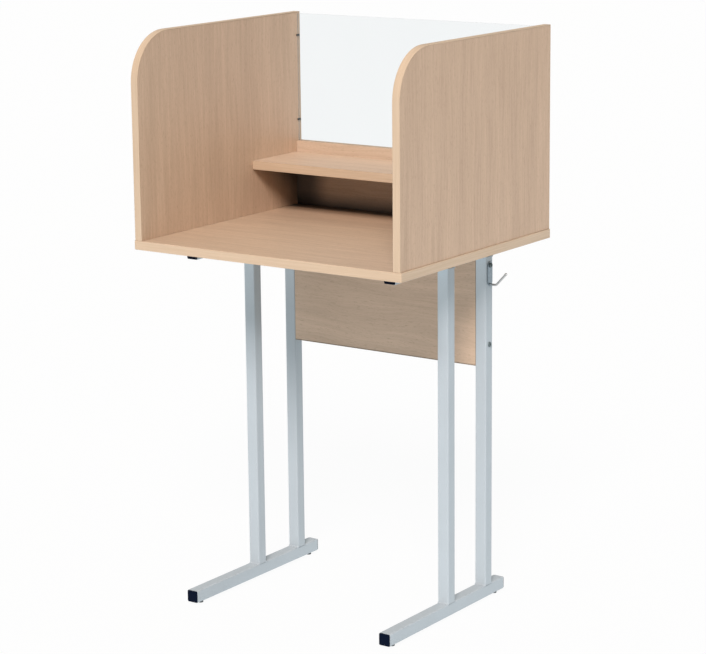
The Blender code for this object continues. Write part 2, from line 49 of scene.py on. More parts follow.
BEECH_LIGHT = (0.571, 0.408, 0.286)
BEECH_DARK = (0.434, 0.304, 0.206)
BEECH_FLECK = (0.320, 0.210, 0.135)
EDGING_LIGHT = (0.580, 0.425, 0.295)
EDGING_DARK = (0.510, 0.365, 0.243)
STEEL_PAINT = (0.430, 0.472, 0.502)
STEEL_FLAKE = (0.640, 0.680, 0.710)
CAP_BLACK = (0.0004, 0.0034, 0.0140)
CAP_GREY = (0.0012, 0.0048, 0.0185)
CLIP_BROWN = (0.075, 0.066, 0.060)
GLIDE_GREY = (0.060, 0.065, 0.068)
ZINC = (0.580, 0.610, 0.640)
SCREW_STEEL = (0.150, 0.190, 0.200)
HOOK_STEEL = (0.300, 0.370, 0.420)
WIRE_STEEL = (0.560, 0.570, 0.570)
SHEET_TINT = (0.020, 0.250, 0.330)
SHEET_EDGE = (0.550, 0.600, 0.620)
DOWEL_DARK = (0.500, 0.360, 0.220)
DOWEL_LIGHT = (0.620, 0.470, 0.300)

# Patterns, as features to the metre: across the grain and along it, or in all directions -----------------

BEECH_WARP = (9.0, 3.0)
BEECH_BANDS = (30.0, 1.6)
BEECH_STREAKS = (190.0, 7.0)
BEECH_FLECKS = (950.0, 110.0)
BANDING_GRAIN = (420.0, 7.0)
DOWEL_GRAIN = (900.0, 20.0)
ORANGE_PEEL = 900.0
COAT_CLOUDS = 14.0
COAT_FLAKES = 2600.0
MOULD_GRAIN = 1500.0
PLATE_CLOUDS = 220.0
BAND_SHARE = 0.45               # how much the beech's bands count, against its streaks

# Painted shade and light in the recess under the shelf, and painted light under the worktop --------------

PAINTED_SHADE_POWERS = (1.0, 0.94, 0.86)        # red, green and blue: the painted shade is a little cooler than the board
SHADE_OVERLAP = 0.009                   # how far it goes up behind the shelf's front edge
SHADE_MARGIN = 0.001                    # keeps the worktop's own face in it
# The painted shade runs between two distances from the recess's far side. The third number is the colour's
# share there.
WORKTOP_PAINTED_LIGHT = (0.150, 0.060, 1.14)     # painted light: towards the rear board, the worktop is first a little paler
WORKTOP_PAINTED_SHADE = (0.046, 0.018, 0.14)   # and then painted shade, dark in the corner
# painted shadow of the shelf on the side panels' inner faces
PANEL_PAINTED_SHADOW = (0.045, -0.060, 0.20)
PANEL_SHADOW_SLANT = 1.3                       # how far the panel's painted shadow comes forward for each metre up
BOARD_ENDS_PAINTED_SHADE = (0.090, 0.030, 0.22)       # painted shade on the rear board, towards the side panels
BOARD_PAINTED_SHADE = 0.78                      # painted shade: share of the colour on the rest of the rear board in the recess
# painted shade at the rear board's foot, and the height over which it darkens to that
BOARD_FOOT_PAINTED_SHADE = 0.10
BOARD_FOOT_SHADE_HEIGHT = 0.032
COAT_PAINTED_LIGHT = 0.42                        # painted light: how much paler the paint's front faces get up to the worktop, where its shadow falls
COAT_PAINTED_LIGHT_SPAN = 0.180

# Shapes --------------------------------------------------------------------------------------------------

MERGE = 1e-6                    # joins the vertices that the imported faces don't share
SHARP = math.radians(35)        # an edge that turns further than this stays sharp
TURNS = 48                      # sides of a round piece
HEAD_HEIGHT = 0.003             # of the pan head screws
SHANK_RADIUS = 0.0025
PANEL_SCREW_EXTRA = 0.0007      # how much thicker the countersunk screws are
SOCKET_RADIUS = 0.0018          # of the hexagon socket, to its corners
SOCKET_DEPTH = 0.0018
SCREW_PITCH = 0.0022
STEM_PITCH = 0.0010
THREAD_DEPTH = 0.55             # of a thread, as a share of its pitch
THREAD_STEPS = 6                # rings to each turn of a thread
COUNTERSINK = 0.0040            # depth of a countersunk head
SCREW_NECK = 0.0040             # plain shank between a head and its thread
SCREW_POINT = 0.0045            # plain taper at a screw's end
NUT_FLANGE = 0.0010
NUT_CHAMFER = 0.0003
STEM_GAP = 0.0003               # between a glide's stem and the bore of its nut
CAP_FLANGE = 0.002
CAP_RIM = 0.0007                # radius of the rounding on an end cap's face
CAP_WALL = 0.0013               # of the tube, which the cap's plug goes into
CAP_PLUG_CORNER = 0.001
CAP_RIBS = 3
CAP_RIB_PITCH = 0.0028
TUBE_CORNER = 0.0025
CLIP_ROUNDING = 0.0002

BEAD_FLAT = 0.0006              # radius of a weld bead where it is ground nearly flush
BEAD_FULL = 0.0019              # and where it is left full
BEAD_GROUND = 0.80              # share of the upright's half width that is ground
BEAD_STEP = 0.0009
BEAD_SIDES = 10
BEAD_RIPPLE = 0.10

HOOK_WIRE = 0.0022              # radius of the bag hook's wire
HOOK_TIP = 0.00275              # radius of its ball
HOOK_PLATE = 0.0020
HOOK_HALF_WIDTH = 0.0085
HOOK_ARM_LEVEL = 0.0021         # from the plate's lower end up to the wire's middle
HOOK_ARM_REACH = 0.0126         # how far the wire runs out before it turns up
HOOK_BEND = 0.007               # radius of the turn in its arm
HOOK_ANGLE = math.radians(47)   # rise of its arm
HOOK_WELD = 0.0016              # how much thicker the wire's weld is at the plate
HOOK_WELD_LENGTH = 0.0022
HOOK_SIDES = 20
HOOK_STEPS = 12                 # rings in the wire's bend, and again in its ball
HOOK_PALE = 0.010               # from here on outwards the wire has its own, paler colour

SIDES = (("left", -1), ("right", 1))
ENDS = (("front", -1), ("rear", 1))

# Light, stage and camera ---------------------------------------------------------------------------------

HORIZON = 0.04                  # strength of the sky at its edge and overhead
ZENITH = 0.962
SKY_TINT = (0.96, 1.0, 1.0)
FLOOR_BOUNCE = 1.178            # light that comes up from the floor
FLOOR_TINT = (0.90, 1.0, 1.05)
KEY_TOWARD = (0.3585, -0.683, 0.6365)
KEY_STRENGTH = 3.09
KEY_TINT = (1.0, 0.921, 0.886)
KEY_SOFTNESS = math.radians(20)
FILL_TOWARD = (-0.25, -0.93, 0.27)
FILL_STRENGTH = 0.171
FILL_TINT = (1.0, 1.0, 1.0)
FILL_SOFTNESS = math.radians(60)
STAGE_SIZE = 120.0
FLOOR_LEVEL = -0.0001
BOUNCE_LEVEL = -0.0010
FLOOR_ALBEDO = 0.035            # the floor that is seen gives most of its own light
FLOOR_GLOW = 0.945
BACKDROP_GLOW = 0.98            # what the camera sees beyond the floor

CAMERA_AZIMUTH = math.radians(34.84)
CAMERA_ELEVATION = math.radians(12.54)
CAMERA_ROLL = math.radians(-0.58)
CAMERA_AIM = (0.0428, -0.0338, 0.5786)
CAMERA_DISTANCE = 4.766
CAMERA_LENS = 122.91            # millimetres, on a 36 mm sensor


# Shader tools --------------------------------------------------------------------------------------------

class Shader:
    """A material's node tree, with short ways to add nodes to it."""

    def __init__(self, name, **values):
        self.material = bpy.data.materials.new(name)
        self.material.use_nodes = True
        self.tree = self.material.node_tree
        self.surface = self.tree.nodes["Principled BSDF"]
        for socket, value in values.items():
            self.set(socket.replace("_", " ").title(), value)

    def set(self, socket, value):
        self.put(self.surface.inputs[socket], value)

    def put(self, socket, value):
        """Links a socket to another, or gives it a number or a colour."""
        if isinstance(value, bpy.types.NodeSocket):
            self.tree.links.new(value, socket)
        elif isinstance(value, tuple) and socket.type == "RGBA":
            socket.default_value = (*value[:3], 1.0)
        else:
            socket.default_value = value

    def add(self, kind, inputs, **settings):
        node = self.tree.nodes.new("ShaderNode" + kind)
        for name, value in settings.items():
            setattr(node, name, value)
        for key, value in inputs.items():
            self.put(node.inputs[key], value)
        return node

    def place(self):
        """The point's X, Y and Z in the object's own axes, in metres."""
        where = self.add("TexCoord", {}).outputs["Object"]
        return self.add("SeparateXYZ", {0: where}).outputs

    def normal(self):
        direction = self.add("TexCoord", {}).outputs["Normal"]
        return self.add("SeparateXYZ", {0: direction}).outputs

    def vector(self, x, y, z):
        return self.add("CombineXYZ", {0: x, 1: y, 2: z}).outputs[0]

    def colour(self, red, green, blue):
        return self.add("CombineColor", {0: red, 1: green, 2: blue}).outputs[0]

    def math(self, operation, first, second=0.0, third=0.0):
        return self.add("Math", {0: first, 1: second, 2: third}, operation=operation).outputs[0]

    def noise(self, vector, detail=2.0, roughness=0.5, scale=1.0):
        inputs = {"Vector": vector, "Scale": scale, "Detail": detail, "Roughness": roughness}
        return self.add("TexNoise", inputs).outputs[0]

    def remap(self, value, low, high, to_low=0.0, to_high=1.0, course="LINEAR"):
        inputs = {"Value": value, "From Min": low, "From Max": high, "To Min": to_low, "To Max": to_high}
        return self.add("MapRange", inputs, interpolation_type=course).outputs[0]

    def mix(self, factor, first, second):
        node = self.add("Mix", {}, data_type="RGBA")
        for index, value in ((0, factor), (6, first), (7, second)):
            self.put(node.inputs[index], value)
        return node.outputs[2]

    def blend(self, kind, first, second):
        node = self.add("Mix", {}, data_type="RGBA", blend_type=kind)
        for index, value in ((0, 1.0), (6, first), (7, second)):
            self.put(node.inputs[index], value)
        return node.outputs[2]

    def bump(self, height, strength, distance):
        inputs = {"Height": height, "Strength": strength, "Distance": distance}
        self.set("Normal", self.add("Bump", inputs).outputs[0])


def dress(material, *names):
    """Gives CAD nodes a material and leaves their shapes as they are."""
    for name in names:
        slots = nodes[name].data.materials
        slots.clear()
        slots.append(material)


def shade(colour, factor):
    """A colour made darker or lighter."""
    return tuple(factor * part for part in colour)


def tinted(colour, tint):
    """A colour with its red, green and blue changed by the shares in a tint."""
    return tuple(part * share for part, share in zip(colour, tint))


# Materials -----------------------------------------------------------------------------------------------

def beech_laminate(name, along, face, seed, tint, sway):
    """Printed beech: soft bands, fine streaks and short flecks along one axis, and a banded edge, with
    painted shade and light in the recess under the shelf.
    """
    shader = Shader(name)
    axes = dict(zip("XYZ", shader.place()))
    across = ({"X", "Y", "Z"} - {along, face}).pop()
    u, v, w = axes[along], axes[across], axes[face]
    fast, slow = BEECH_WARP
    wave = shader.vector(shader.math("MULTIPLY", u, slow), shader.math("MULTIPLY", v, fast), seed)
    bent = shader.math("ADD", v, shader.remap(shader.noise(wave), 0.0, 1.0, -sway, sway))

    def layer(rates, detail, roughness):
        fast, slow = rates
        start = shader.math("MULTIPLY", u, slow)
        cross = shader.math("MULTIPLY", bent, fast)
        depth = shader.math("MULTIPLY_ADD", w, fast, seed)
        return shader.noise(shader.vector(start, cross, depth), detail, roughness)

    bands = shader.remap(layer(BEECH_BANDS, detail=4.0, roughness=0.60), 0.32, 0.68)
    streaks = shader.remap(layer(BEECH_STREAKS, detail=4.0, roughness=0.72), 0.33, 0.67)
    fine = shader.math("MULTIPLY", streaks, 1.0 - BAND_SHARE)
    blend = shader.math("MULTIPLY_ADD", bands, BAND_SHARE, fine)
    # the tint is painted light, set per board
    colour = shader.mix(blend, tinted(BEECH_DARK, tint), tinted(BEECH_LIGHT, tint))
    flecks = shader.remap(layer(BEECH_FLECKS, detail=1.0, roughness=0.5), 0.60, 0.70)
    colour = shader.mix(shader.math("MULTIPLY", flecks, 0.45), colour, tinted(BEECH_FLECK, tint))
    flat = shader.math("ABSOLUTE", dict(zip("XYZ", shader.normal()))[face])
    banded = shader.math("LESS_THAN", flat, 0.5)
    edge = shader.mix(streaks, EDGING_DARK, EDGING_LIGHT)
    # painted shade and light in the recess under the shelf, multiplied into the colour
    light = painted_recess_shade(shader, face)
    painted_shade = shader.colour(*(shader.math("POWER", light, power) for power in PAINTED_SHADE_POWERS))
    shader.set("Base Color", shader.blend("MULTIPLY", shader.mix(banded, colour, edge), painted_shade))
    shader.set("Roughness", shader.remap(streaks, 0.0, 1.0, 0.48, 0.40))
    shader.bump(streaks, 0.12, 0.0003)
    return shader.material


def painted_recess_shade(shader, face):
    """Painted shade and light under the shelf, as a share of a board's colour: 1 away from the recess, near 0
    in its rear corner, and a little over 1 where the worktop gets painted light.
    """
    x, y, z = shader.place()
    across, along, up = shader.normal()
    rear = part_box("rear_board")[0].y
    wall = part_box("shelf")[1].x
    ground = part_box("worktop")[1].z
    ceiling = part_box("shelf")[0].z + SHADE_OVERLAP
    if face == "Z":
        # the worktop: painted light towards the rear board, then painted shade in the corner
        start, end, share = WORKTOP_PAINTED_LIGHT
        pale = shader.remap(y, rear - start, rear - end, 1.0, share, "SMOOTHSTEP")
        start, end, share = WORKTOP_PAINTED_SHADE
        corner = shader.remap(y, rear - start, rear - end, 1.0, share, "SMOOTHSTEP")
        light = shader.math("MULTIPLY", pale, corner)
        inside = shader.math("GREATER_THAN", up, 0.5)
    elif face == "Y":
        # the rear board: painted shade, darkest at its foot and towards the side panels
        foot = shader.remap(z, ground, ground + BOARD_FOOT_SHADE_HEIGHT, BOARD_FOOT_PAINTED_SHADE, BOARD_PAINTED_SHADE)
        start, end, share = BOARD_ENDS_PAINTED_SHADE
        side = shader.math("ABSOLUTE", x)
        corner = shader.remap(side, wall - start, wall - end, 1.0, share, "SMOOTHSTEP")
        light = shader.math("MULTIPLY", foot, corner)
        inside = shader.math("LESS_THAN", along, -0.5)
    else:
        # the side panels' inner faces: the shelf's shadow, painted as a band that slants down to the rear
        start, end, share = PANEL_PAINTED_SHADOW
        slant = shader.math("MULTIPLY_ADD", shader.math("SUBTRACT", z, ground), PANEL_SHADOW_SLANT, y)
        light = shader.remap(slant, rear - start, rear - end, 1.0, share)
        inside = shader.math("LESS_THAN", shader.math("MULTIPLY", x, across), 0.0)
    middle = (ground + ceiling) / 2
    half = (ceiling - ground) / 2 + SHADE_MARGIN
    inside = shader.math("MULTIPLY", inside, shader.math("COMPARE", z, middle, half))
    return shader.math("MULTIPLY_ADD", inside, shader.math("SUBTRACT", light, 1.0), 1.0)


def edge_banding(name, across, seed, tone):
    """Plastic edging with a faint grain along the strip."""
    shader = Shader(name)
    fast, slow = BANDING_GRAIN
    rates = [fast if axis == across else slow for axis in "XYZ"]
    spot = [shader.math("MULTIPLY", value, rate) for value, rate in zip(shader.place(), rates)]
    spot[0] = shader.math("ADD", spot[0], seed)
    grain = shader.remap(shader.noise(shader.vector(*spot), detail=3.0, roughness=0.6), 0.30, 0.70)
    # the tone is painted light and shade, set per strip
    shader.set("Base Color", shader.mix(grain, shade(EDGING_DARK, tone), shade(EDGING_LIGHT, tone)))
    shader.set("Roughness", shader.remap(grain, 0.0, 1.0, 0.46, 0.38))
    shader.bump(grain, 0.10, 0.0002)
    return shader.material


def powder_coat():
    """Silver-grey powder coat: orange peel, some flake, and painted light that makes the front faces paler
    close under the worktop.
    """
    shader = Shader("powder_coat", metallic=0.05)
    shader.set("Specular IOR Level", 0.3)
    spot = shader.vector(*shader.place())
    peel = shader.noise(spot, scale=ORANGE_PEEL)
    cloud = shader.remap(shader.noise(spot, scale=COAT_CLOUDS), 0.3, 0.7)
    tone = shader.mix(cloud, shade(STEEL_PAINT, 0.965), STEEL_PAINT)
    flake = shader.remap(shader.noise(spot, detail=0.0, scale=COAT_FLAKES), 0.55, 0.75)
    colour = shader.mix(shader.math("MULTIPLY", flake, 0.25), tone, STEEL_FLAKE)
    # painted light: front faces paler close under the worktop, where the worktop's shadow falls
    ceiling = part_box("worktop")[0].z
    high = shader.remap(shader.place()[2], ceiling - COAT_PAINTED_LIGHT_SPAN, ceiling, 0.0, COAT_PAINTED_LIGHT)
    front = shader.remap(shader.normal()[1], -1.0, -0.5, 1.0, 0.0)
    painted_lift = shader.math("MULTIPLY_ADD", high, front, 1.0)
    shader.set("Base Color", shader.blend("MULTIPLY", colour, shader.colour(painted_lift, painted_lift, painted_lift)))
    shader.set("Roughness", shader.remap(peel, 0.3, 0.7, 0.46, 0.38))
    shader.bump(peel, 0.15, 0.0002)
    return shader.material


def moulded_plastic(name, dark, light, gloss):
    """Moulded plastic with a fine spark-eroded grain."""
    shader = Shader(name)
    shader.set("Specular IOR Level", gloss)
    spot = shader.vector(*shader.place())
    grain = shader.noise(spot, detail=3.0, roughness=0.6, scale=MOULD_GRAIN)
    shader.set("Base Color", shader.mix(shader.remap(grain, 0.3, 0.7), dark, light))
    shader.set("Roughness", shader.remap(grain, 0.3, 0.7, 0.52, 0.40))
    shader.bump(grain, 0.2, 0.0002)
    return shader.material


def add_plating(shader, dark, light):
    """Zinc plate: clouded, and a little smoother where it is paler."""
    spot = shader.vector(*shader.place())
    cloud = shader.remap(shader.noise(spot, detail=4.0, roughness=0.6, scale=PLATE_CLOUDS), 0.3, 0.7)
    shader.set("Base Color", shader.mix(cloud, dark, light))
    shader.set("Roughness", shader.remap(cloud, 0.0, 1.0, 0.40, 0.28))
    shader.bump(cloud, 0.1, 0.0002)
    return shader.material


def plated_steel(name, colour, metallic):
    return add_plating(Shader(name, metallic=metallic), shade(colour, 0.8), colour)


def hook_plating():
    """Zinc plate that is blue-grey on the hook's pressed plate and paler along its drawn wire."""
    shader = Shader("hook_steel", metallic=0.8)
    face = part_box("bag_hook")[0].x
    along = shader.remap(shader.place()[0], face + HOOK_PLATE, face + HOOK_PALE)
    tone = shader.mix(along, HOOK_STEEL, WIRE_STEEL)
    return add_plating(shader, shader.blend("MULTIPLY", tone, (0.8, 0.8, 0.8)), tone)


def clear_sheet():
    """A clear sheet, denser at its cut edges, with a trace of wiping marks."""
    shader = Shader("clear_sheet")
    shader.set("IOR", 1.49)
    x, y, z = shader.place()
    wipe = shader.vector(shader.math("MULTIPLY", x, 7.0), y, shader.math("MULTIPLY", z, 3.0))
    marks = shader.noise(wipe, detail=4.0)
    cut = shader.math("LESS_THAN", shader.math("ABSOLUTE", shader.normal()[1]), 0.5)
    shader.set("Base Color", shader.mix(cut, SHEET_TINT, SHEET_EDGE))
    shader.set("Roughness", shader.remap(marks, 0.3, 0.7, 0.03, 0.10))
    face = shader.remap(marks, 0.3, 0.7, 0.048, 0.054)
    shader.set("Alpha", shader.math("MULTIPLY_ADD", cut, 0.20, face))
    return shader.material


def raw_dowel():
    """Bare beech with its grain along the dowel."""
    shader = Shader("raw_dowel", roughness=0.6)
    x, y, z = shader.place()
    fast, slow = DOWEL_GRAIN
    fine = [shader.math("MULTIPLY", value, fast) for value in (y, z)]
    grain = shader.noise(shader.vector(shader.math("MULTIPLY", x, slow), *fine))
    shader.set("Base Color", shader.mix(grain, DOWEL_DARK, DOWEL_LIGHT))
    return shader.material


# Mesh tools ----------------------------------------------------------------------------------------------

def add_piece(name, bm, material, slot, body, *stands_for):
    """A new piece from a bmesh. It rides on a body and stands for the CAD nodes that are named."""
    bmesh.ops.recalc_face_normals(bm, faces=bm.faces)
    mesh = bpy.data.meshes.new(name)
    bm.to_mesh(mesh)
    bm.free()
    mesh.shade_smooth()
    mesh.set_sharp_from_angle(angle=SHARP)
    mesh.materials.append(material)
    piece = bpy.data.objects.new(name, mesh)
    bpy.context.scene.collection.objects.link(piece)
    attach(piece, body)
    if stands_for:
        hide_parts(*stands_for)
    return piece


def weigh_normals(piece):
    """Keeps the flat faces flat beside small roundings."""
    modifier = piece.modifiers.new("Weighted normals", "WEIGHTED_NORMAL")
    modifier.keep_sharp = True


def smooth_copy(node, material, slot):
    """A welded copy of a CAD node, with its roundings shaded smooth."""
    bm = bmesh.new()
    bm.from_mesh(nodes[node].data)
    bmesh.ops.remove_doubles(bm, verts=bm.verts, dist=MERGE)
    piece = add_piece(node + "_shown", bm, material, slot, "desk", node)
    weigh_normals(piece)
    return piece


def ring_body(rings, closed=False, bm=None):
    """A body through rings that have equal numbers of points: capped at both ends, or closed on itself."""
    bm = bm or bmesh.new()
    layers = [[bm.verts.new(point) for point in ring] for ring in rings]
    pairs = list(zip(layers, layers[1:]))
    if closed:
        pairs.append((layers[-1], layers[0]))
    else:
        bm.faces.new(layers[0])
        bm.faces.new(layers[-1])
    for first, second in pairs:
        for index, corner in enumerate(first):
            after = (index + 1) % len(first)
            bm.faces.new((corner, first[after], second[after], second[index]))
    return bm


def turned(profile, place, closed=False, radius_at=None):
    """Turns a profile of (radius, height) about local Z. radius_at may vary the radius around the turn."""
    rings = []
    for radius, height in profile:
        ring = []
        for step in range(TURNS):
            angle = 2 * math.pi * step / TURNS
            reach = radius_at(radius, height, angle) if radius_at else radius
            ring.append(place @ Vector((reach * math.cos(angle), reach * math.sin(angle), height)))
        rings.append(ring)
    return ring_body(rings, closed)


def rounded_square(half, corner, steps=5):
    """The points of a square with rounded corners, about the origin."""
    points = []
    for quarter in range(4):
        turn = math.radians(90 * quarter)
        for step in range(steps + 1):
            angle = turn + math.radians(90) * step / steps
            u = (half - corner) * (math.cos(turn) - math.sin(turn)) + corner * math.cos(angle)
            v = (half - corner) * (math.sin(turn) + math.cos(turn)) + corner * math.sin(angle)
            points.append((u, v))
    return points


def hexagon(to_corner, angle):
    """The radius of a hexagon at an angle."""
    half_side = math.radians(30)
    return to_corner * math.cos(half_side) / math.cos(angle % (2 * half_side) - half_side)


def thread(outer, pitch, top, bottom):
    """The heights and the radius function of a thread between two heights."""
    depth = THREAD_DEPTH * pitch
    count = max(2, round((top - bottom) / pitch * THREAD_STEPS))
    heights = [top + (bottom - top) * index / count for index in range(count + 1)]

    def radius_at(radius, height, angle):
        if radius < outer or not bottom < height < top:
            return radius
        phase = (height / pitch - angle / (2 * math.pi)) % 1.0
        ridge = min(1.0, 3.0 * abs(phase - 0.5))
        ends = min(1.0, (top - height) / pitch, (height - bottom) / pitch)
        return outer - depth * ridge * ends

    return heights, radius_at


# Screws --------------------------------------------------------------------------------------------------

def axis_place(node, axis, outward):
    """Places local +Z along an axis out of a node's head, with the origin at the head's top."""
    low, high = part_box(node)
    origin = (low + high) / 2
    index = "XYZ".index(axis)
    origin[index] = high[index] if outward > 0 else low[index]
    direction = Vector((0, 0, 0))
    direction[index] = outward
    return Matrix.Translation(origin) @ direction.to_track_quat("Z", "Y").to_matrix().to_4x4()


def make_screw(node, material, axis, outward, countersunk=False):
    """A screw with a hexagon socket in its head and a thread on its shank."""
    low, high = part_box(node)
    length = (high - low)["XYZ".index(axis)]
    head = min(high - low) / 2
    socket_floor = -SOCKET_DEPTH
    profile = [(0.6 * SOCKET_RADIUS, socket_floor - 0.0003), (SOCKET_RADIUS, socket_floor)]
    profile += [(SOCKET_RADIUS, -0.0002), (1.08 * SOCKET_RADIUS, 0.0)]
    if countersunk:
        shank = SHANK_RADIUS + PANEL_SCREW_EXTRA
        profile += [(head - 0.0002, 0.0), (head, -0.0002), (head, -0.0010), (shank, -COUNTERSINK)]
        under = -COUNTERSINK
    else:
        shank = SHANK_RADIUS
        flat = 1.3 * SOCKET_RADIUS
        for step in range(7):
            angle = math.radians(90 - 15 * step)
            radius = flat + (head - flat) * math.cos(angle)
            profile.append((radius, -0.85 * HEAD_HEIGHT * (1 - math.sin(angle))))
        profile += [(head, -HEAD_HEIGHT), (shank, -HEAD_HEIGHT)]
        under = -HEAD_HEIGHT
    heights, threaded = thread(shank, SCREW_PITCH, under - SCREW_NECK, -length + SCREW_POINT)
    profile += [(shank, height) for height in heights]
    profile += [(0.55 * shank, -length + 0.001), (0.15 * shank, -length)]

    def radius_at(radius, height, angle):
        if radius <= SOCKET_RADIUS and height > socket_floor - 0.0001:
            return hexagon(SOCKET_RADIUS, angle)
        return threaded(radius, height, angle)

    body = turned(profile, axis_place(node, axis, outward), radius_at=radius_at)
    add_piece(node + "_shown", body, material, "zinc_steel", "desk", node)


def make_screws(material):
    for side, sign in SIDES:
        names = [side + "_lower_modesty_screw"]
        names.append("hook_screw" if side == "right" else side + "_upper_modesty_screw")
        for name in names:
            make_screw(name, material, "X", sign)
        for end, _ in ENDS:
            make_screw(side + "_" + end + "_rail_screw", material, "Z", -1)
            make_screw(side + "_" + end + "_panel_screw", material, "Z", -1, countersunk=True)


# Levelling glides ----------------------------------------------------------------------------------------

def make_foot(body, centre, stem, plastic):
    """A round foot with a hexagon collar above it, which a spanner turns."""
    low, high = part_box(body + "_foot")
    radius = (high.x - low.x) / 2
    top = high.z
    profile = [(0.55 * radius, 0.00025), (0.62 * radius, 0.0), (0.86 * radius, 0.0)]
    for step in range(5):
        angle = math.radians(-90 + 22.5 * step)
        reach = 0.86 * radius + 0.14 * radius * math.cos(angle)
        profile.append((reach, 0.0008 + 0.0008 * math.sin(angle)))
    profile += [(radius, 0.45 * top), (0.97 * radius, 0.55 * top), (0.80 * radius, 0.66 * top)]
    profile += [(0.78 * radius, 0.94 * top), (0.74 * radius, top)]
    profile += [(stem + 0.0001, top), (stem + 0.0001, 0.7 * top)]

    def grip(reach, height, angle):
        if 0.6 * top < height <= top and reach > 0.7 * radius:
            return min(reach, hexagon(0.88 * radius, angle) * reach / (0.80 * radius))
        return reach

    foot = turned(profile, centre, radius_at=grip)
    shown = add_piece(body + "_foot_shown", foot, plastic, "black_plastic", body, body + "_foot")
    weigh_normals(shown)


def make_stem(body, centre, stem, steel):
    low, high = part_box(body + "_stem")
    heights, radius_at = thread(stem, STEM_PITCH, high.z - 0.0006, low.z)
    profile = [(0.5 * stem, high.z), (stem - 0.0005, high.z)]
    profile += [(stem, height) for height in heights]
    rod = turned(profile, centre, radius_at=radius_at)
    add_piece(body + "_stem_shown", rod, steel, "zinc_steel", body, body + "_stem")


def make_nut(body, centre, stem, steel):
    """The flanged nut that stays in the foot rail."""
    low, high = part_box(body + "_nut")
    flange = (high.x - low.x) / 2
    barrel = 0.80 * flange
    bore = stem + STEM_GAP
    flange_top = low.z + NUT_FLANGE
    profile = [(bore + 0.0002, high.z), (barrel - NUT_CHAMFER, high.z), (barrel, high.z - NUT_CHAMFER)]
    profile += [(barrel, flange_top), (flange - 0.0001, flange_top), (flange, flange_top - 0.0001)]
    profile += [(flange, low.z + 0.0002), (flange - 0.0002, low.z), (bore + NUT_CHAMFER, low.z)]
    profile += [(bore, low.z + NUT_CHAMFER), (bore, high.z - 0.0002)]
    nut = turned(profile, centre, closed=True)
    add_piece(body + "_nut_shown", nut, steel, "zinc_steel", "desk", body + "_nut")


def make_glide(name, plastic, steel):
    """A glide's foot and stem, which ride on its own body, and its nut."""
    body = name + "_glide"
    low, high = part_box(body + "_foot")
    centre = Matrix.Translation(((low.x + high.x) / 2, (low.y + high.y) / 2, 0.0))
    low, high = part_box(body + "_stem")
    stem = (high.x - low.x) / 2
    make_foot(body, centre, stem, plastic)
    make_stem(body, centre, stem, steel)
    make_nut(body, centre, stem, steel)


# End caps ------------------------------------------------------------------------------------------------

def make_end_cap(name, material, direction):
    """A pressed-in cap: rounded rim, a moulded step around its face, and ribs on its plug."""
    low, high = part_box(name)
    half = (high.x - low.x) / 2
    length = high.y - low.y
    plug = half - CAP_WALL
    inner = CAP_PLUG_CORNER
    # Each ring is half its width, its corners' radius and its depth behind the cap's face.
    rings = [(plug - 0.0010, inner, length), (plug - 0.0004, inner, length - 0.001)]
    for rib in range(CAP_RIBS):
        start = length - 0.0015 - CAP_RIB_PITCH * rib
        rings += [(plug, inner, start), (plug, inner, start - 0.0010)]
        rings += [(plug - 0.0006, inner, start - 0.0014), (plug - 0.0006, inner, start - 0.0026)]
    rings += [(plug, inner, CAP_FLANGE), (half, TUBE_CORNER, CAP_FLANGE), (half, TUBE_CORNER, CAP_RIM)]
    for step in range(1, 5):
        angle = math.radians(90 * step / 4)
        inset = CAP_RIM * (1 - math.cos(angle))
        rings.append((half - inset, TUBE_CORNER, CAP_RIM * (1 - math.sin(angle))))
    rings += [(half - 0.0026, 0.0018, 0.0), (half - 0.0030, 0.0016, 0.0005)]
    rings += [(half - 0.0037, 0.0014, 0.0005), (half - 0.0043, 0.0012, 0.00025)]
    rings += [(0.5 * half, 0.0010, 0.0001), (0.2 * half, 0.0006, 0.0)]
    face = low.y if direction < 0 else high.y
    x, z = (low.x + high.x) / 2, (low.z + high.z) / 2
    loops = []
    for reach, corner, depth in rings:
        y = face - direction * depth
        loops.append([Vector((x + u, y, z + v)) for u, v in rounded_square(reach, corner)])
    piece = add_piece(name + "_shown", ring_body(loops), material, "black_plastic", "desk", name)
    weigh_normals(piece)


# Frame welds ---------------------------------------------------------------------------------------------

def weld_ring(bm, x, y, z, half):
    """A bead round an upright's end: full across the rail, and ground nearly flush on the two sides."""
    outline = [Vector(corner) for corner in rounded_square(half, TUBE_CORNER, 6)]
    dense = []
    for start, end in zip(outline, outline[1:] + outline[:1]):
        count = max(1, round((end - start).length / BEAD_STEP))
        dense += [start.lerp(end, index / count) for index in range(count)]
    rings = []
    for index, spot in enumerate(dense):
        ahead = dense[(index + 1) % len(dense)]
        behind = dense[index - 1]
        along = (ahead - behind).normalized()
        outward = Vector((along.y, -along.x))
        full = min(1.0, max(0.0, (abs(spot.y) / half - BEAD_GROUND) / 0.15))
        ripple = 1.0 + BEAD_RIPPLE * math.sin(2 * math.pi * index / 3.0 + 0.6 * math.sin(0.37 * index))
        reach = (BEAD_FLAT + (BEAD_FULL - BEAD_FLAT) * full) * ripple
        ring = []
        for step in range(BEAD_SIDES):
            angle = 2 * math.pi * step / BEAD_SIDES
            side = spot + outward * reach * math.cos(angle)
            ring.append(Vector((x + side.x, y + side.y, z + reach * math.sin(angle))))
        rings.append(ring)
    ring_body(rings, closed=True, bm=bm)


def make_welds(material):
    for side, _ in SIDES:
        bm = bmesh.new()
        for end, _ in ENDS:
            low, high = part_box(side + "_" + end + "_upright")
            x, y = (low.x + high.x) / 2, (low.y + high.y) / 2
            half = (high.x - low.x) / 2
            for z in (low.z, high.z):
                weld_ring(bm, x, y, z, half)
        add_piece(side + "_frame_welds", bm, material, "frame_steel", "desk")


